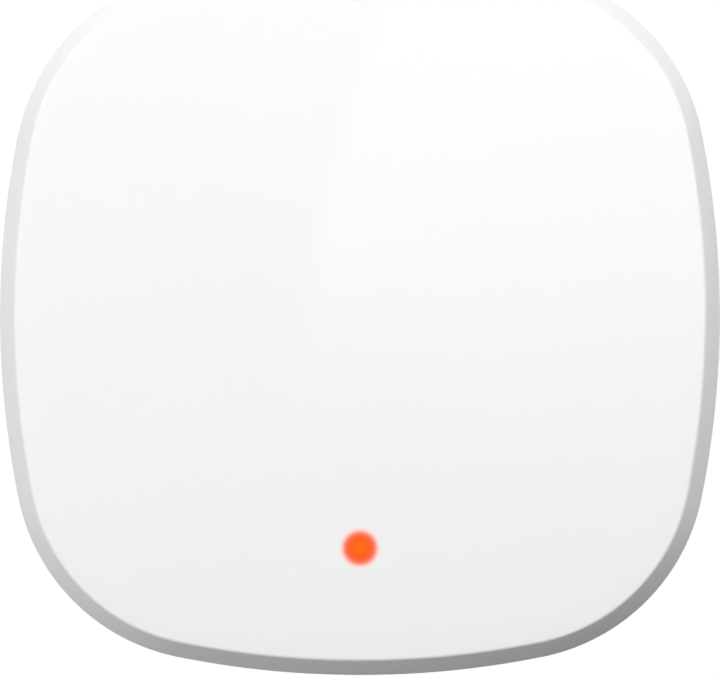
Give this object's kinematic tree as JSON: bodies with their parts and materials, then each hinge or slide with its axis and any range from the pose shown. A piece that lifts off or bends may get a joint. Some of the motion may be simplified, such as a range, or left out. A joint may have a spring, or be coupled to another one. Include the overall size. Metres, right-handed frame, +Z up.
{
  "type": "ceiling access point",
  "caption": "Square wireless access point with bowed sides, a bevelled rim and a round status light, twist-locked onto a round mounting bracket.",
  "frame": {"origin": "centre of the mounting bracket's back face, on the ceiling", "axes": "+Y into the ceiling, so the face looks along -Y; +Z up the face, away from the status light; +X to the right of someone looking at the face"},
  "size_m": [0.16, 0.0362, 0.16],
  "materials": {
    "white_plastic": "smooth white, satin gloss",
    "housing_plastic": "fine texture",
    "bracket_paint": "powder coat",
    "orange_lens": "clear tinted light pipe, lit",
    "steel": "bright zinc",
    "dark_steel": "dark zinc",
    "aluminium": "as cast and stamped",
    "rubber": "matt grey",
    "circuit_board": "solder mask",
    "black_plastic": "moulded",
    "chip_black": "moulded epoxy",
    "brass": "plated",
    "pad_blue": "soft gap filler",
    "label_silver": "printed film, blank",
    "coax_grey": "jacket",
    "latch_plastic": "moulded"
  },
  "bodies": {
    "bracket": {"mount_bracket": "bracket_paint", "latch_pivot_pin": "steel", "latch_spring": "steel"},
    "access_point": {"antenna_1": "brass", "antenna_2": "brass", "antenna_3": "brass", "antenna_4": "brass", "antenna_coax_1": "coax_grey", "antenna_coax_2": "coax_grey", "antenna_coax_3": "coax_grey", "antenna_coax_4": "coax_grey", "back_housing": "housing_plastic", "capacitor_1": "aluminium", "capacitor_2": "aluminium", "coax_plug_1": "brass", "coax_plug_2": "brass", "coax_plug_3": "brass", "coax_plug_4": "brass", "cover_screw_1": "steel", "cover_screw_2": "steel", "cover_screw_3": "steel", "cover_screw_4": "steel", "ethernet_jack_insert": "black_plastic", "ethernet_jack_shell": "steel", "front_cover": "white_plastic", "heat_sink": "aluminium", "heat_sink_screw_1": "steel", "heat_sink_screw_2": "steel", "heat_sink_screw_3": "steel", "heat_sink_screw_4": "steel", "label_plate": "label_silver", "lan_transformer": "chip_black", "light_pipe": "orange_lens", "main_board": "circuit_board", "memory_chip": "chip_black", "mounting_stud_1": "dark_steel", "mounting_stud_2": "dark_steel", "mounting_stud_3": "dark_steel", "mounting_stud_4": "dark_steel", "poe_transformer": "chip_black", "power_inductor": "chip_black", "power_jack_body": "black_plastic", "power_jack_pin": "brass", "processor_chip": "chip_black", "radio_chip_a": "chip_black", "radio_chip_b": "chip_black", "reset_switch": "chip_black", "rubber_foot_1": "rubber", "rubber_foot_2": "rubber", "rubber_foot_3": "rubber", "rubber_foot_4": "rubber", "shield_can_processor": "steel", "shield_can_radio_a": "steel", "shield_can_radio_b": "steel", "status_led": "white_plastic", "thermal_pad_processor": "pad_blue", "thermal_pad_radio_a": "pad_blue", "thermal_pad_radio_b": "pad_blue"},
    "latch": {"release_latch": "latch_plastic"},
    "reset_button": {"reset_button": "black_plastic"}
  },
  "joints": [
    {"name": "twist_lock", "type": "hinge", "parent": "bracket", "child": "access_point", "pos_m": [0, 0, 0], "axis": [0, -1, 0], "range_deg": [0, 18]},
    {"name": "latch_press", "type": "hinge", "parent": "bracket", "child": "latch", "pos_m": [0, -0.0039, -0.036], "axis": [1, 0, 0], "range_deg": [0, 5], "stiffness_Nm_per_rad": 0.3, "deforming": ["latch_spring"]},
    {"name": "reset_press", "type": "slide", "parent": "access_point", "child": "reset_button", "axis": [0, 0, -1], "range_m": [0, 0.0006], "stiffness_N_per_m": 800}
  ]
}
